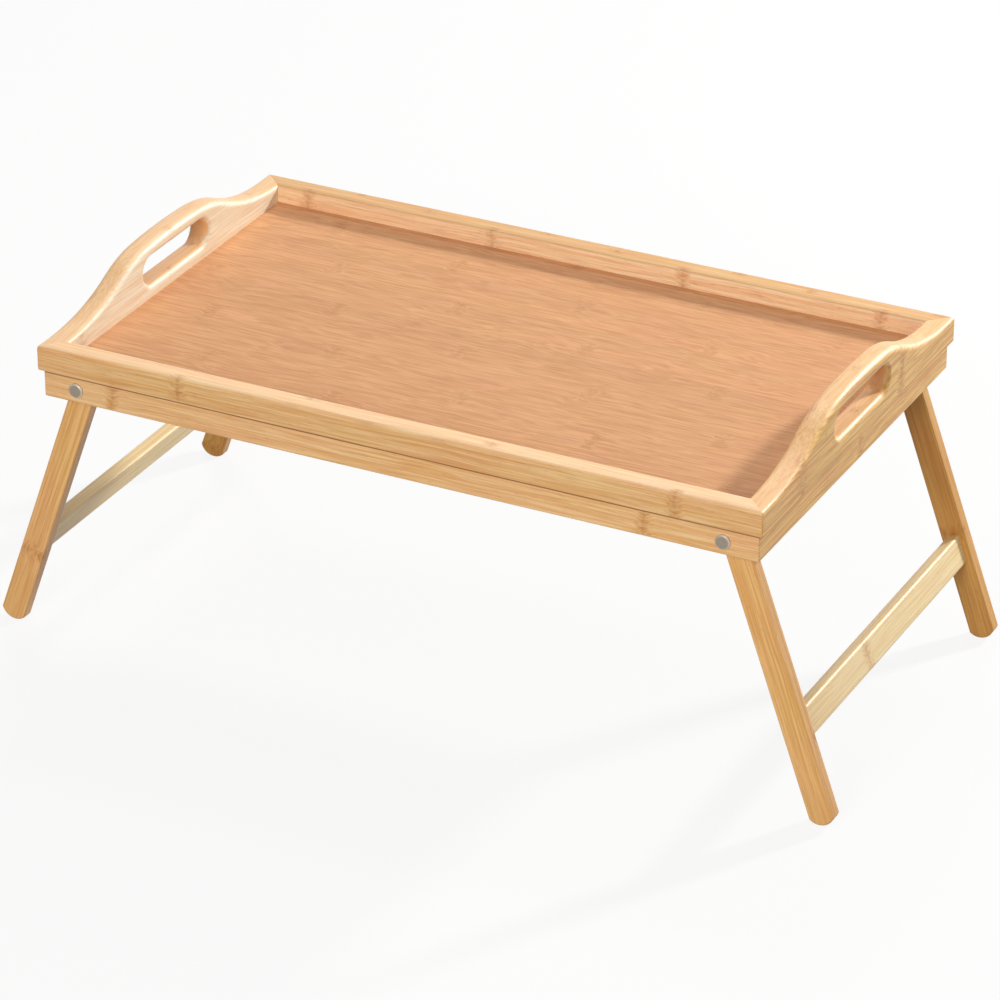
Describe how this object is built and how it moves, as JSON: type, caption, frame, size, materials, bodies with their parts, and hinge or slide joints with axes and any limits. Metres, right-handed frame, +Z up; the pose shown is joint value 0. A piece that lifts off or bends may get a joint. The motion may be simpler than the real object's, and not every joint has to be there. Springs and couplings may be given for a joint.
{
  "type": "bed tray table",
  "caption": "Low bamboo tray table for use in bed, with arched end boards, hand slots and leg frames that fold up flat under the tray.",
  "frame": {"origin": "on the floor, under the middle of the tray, with the legs open", "axes": "+X along the tray to the right end board, +Y to the back rail, +Z up"},
  "size_m": [0.5914, 0.3, 0.2386],
  "materials": {
    "frame": "satin lacquered bamboo",
    "panel": "satin lacquered carbonised bamboo",
    "leg": "satin lacquered bamboo",
    "dowel": "plain",
    "bolt": "nickel plated",
    "washer": "zinc plated",
    "screw": "zinc plated"
  },
  "bodies": {
    "tray": {"front_rail": "frame", "back_rail": "frame", "left_end_board": "frame", "right_end_board": "frame", "tray_panel": "panel", "front_apron": "frame", "back_apron": "frame", "left_apron": "frame", "right_apron": "frame", "frame_corner_dowels": "dowel", "apron_corner_dowels": "dowel", "apron_screws": "screw", "pivot_bolts": "bolt", "leg_spacers": "washer", "nut_washers": "washer", "lock_nuts": "bolt"},
    "left_legs": {"front_left_leg": "leg", "back_left_leg": "leg", "left_crossbar": "leg", "left_crossbar_dowels": "dowel"},
    "right_legs": {"front_right_leg": "leg", "back_right_leg": "leg", "right_crossbar": "leg", "right_crossbar_dowels": "dowel"}
  },
  "joints": [
    {"name": "left_leg_fold", "type": "hinge", "parent": "tray", "child": "left_legs", "pos_m": [-0.22355, 0, 0.18627], "axis": [0, -1, 0], "range_deg": [0, 109.5]},
    {"name": "right_leg_fold", "type": "hinge", "parent": "tray", "child": "right_legs", "pos_m": [0.22355, 0, 0.18627], "axis": [0, 1, 0], "range_deg": [0, 109.5]}
  ]
}
